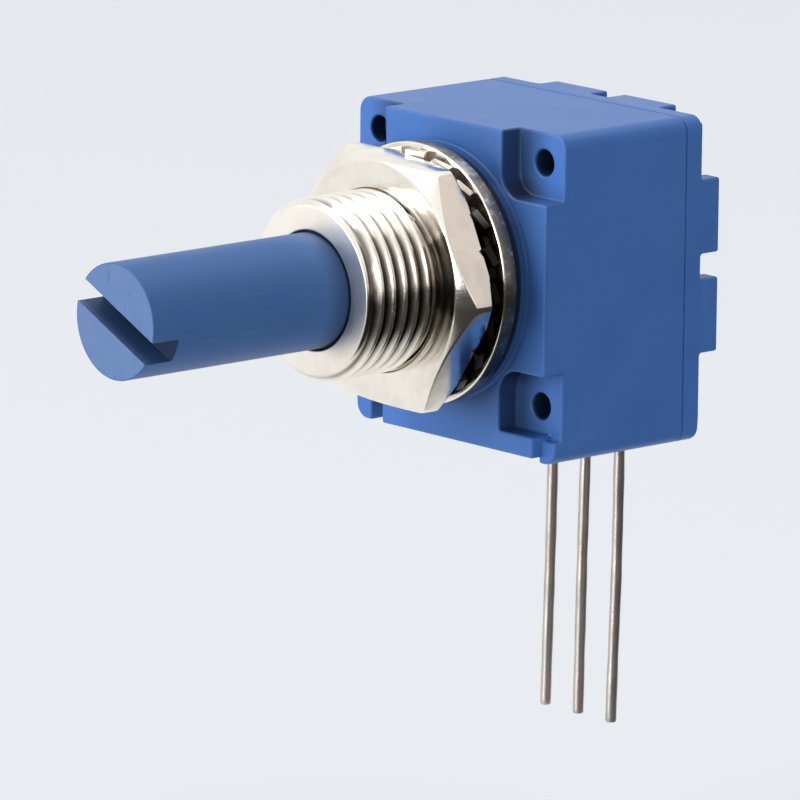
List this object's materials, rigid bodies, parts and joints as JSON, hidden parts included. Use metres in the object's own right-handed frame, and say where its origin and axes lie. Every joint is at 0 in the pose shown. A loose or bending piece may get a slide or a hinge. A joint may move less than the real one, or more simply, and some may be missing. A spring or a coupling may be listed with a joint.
{
  "type": "rotary potentiometer",
  "caption": "Square panel potentiometer with a slotted plastic shaft, threaded bushing with nut and lock washer, and three wire leads.",
  "frame": {"origin": "on the shaft axis, at the front face of the bushing flange, where the panel seats", "axes": "-Y along the shaft towards its slotted end, -Z along the leads, +X to the right seen from the shaft end"},
  "size_m": [0.0158, 0.0343, 0.0331],
  "materials": {
    "housing_plastic": "satin moulded blue plastic",
    "shaft_plastic": "satin moulded blue plastic",
    "nickel_plate": "bright nickel plate on brass",
    "spring_steel": "plated spring steel",
    "ceramic": "matt fired ceramic",
    "resistor_film": "matt printed resistive film",
    "conductor_film": "printed silver conductor",
    "tinned_wire": "tinned copper wire",
    "solder": "solder",
    "seal_rubber": "black rubber",
    "washer_plastic": "natural nylon",
    "rotor_plastic": "black moulded plastic",
    "contact_metal": "precious metal spring alloy"
  },
  "bodies": {
    "housing": {"front_housing": "housing_plastic", "rear_cover": "housing_plastic", "bushing": "nickel_plate", "lock_washer": "spring_steel", "panel_nut": "nickel_plate", "element_plate": "ceramic", "resistance_track": "resistor_film", "collector_track": "conductor_film", "end_pad_ccw": "conductor_film", "end_pad_cw": "conductor_film", "lead_ccw": "tinned_wire", "lead_wiper": "tinned_wire", "lead_cw": "tinned_wire", "solder_joints": "solder", "thrust_washer": "washer_plastic"},
    "spindle": {"shaft": "shaft_plastic", "sealing_ring": "seal_rubber", "retaining_clip": "spring_steel", "rotor": "rotor_plastic", "wiper_contact": "contact_metal"}
  },
  "joints": [
    {"name": "shaft_turn", "type": "hinge", "parent": "housing", "child": "spindle", "pos_m": [0, 0, 0], "axis": [0, 1, 0], "range_deg": [-150, 150]}
  ]
}
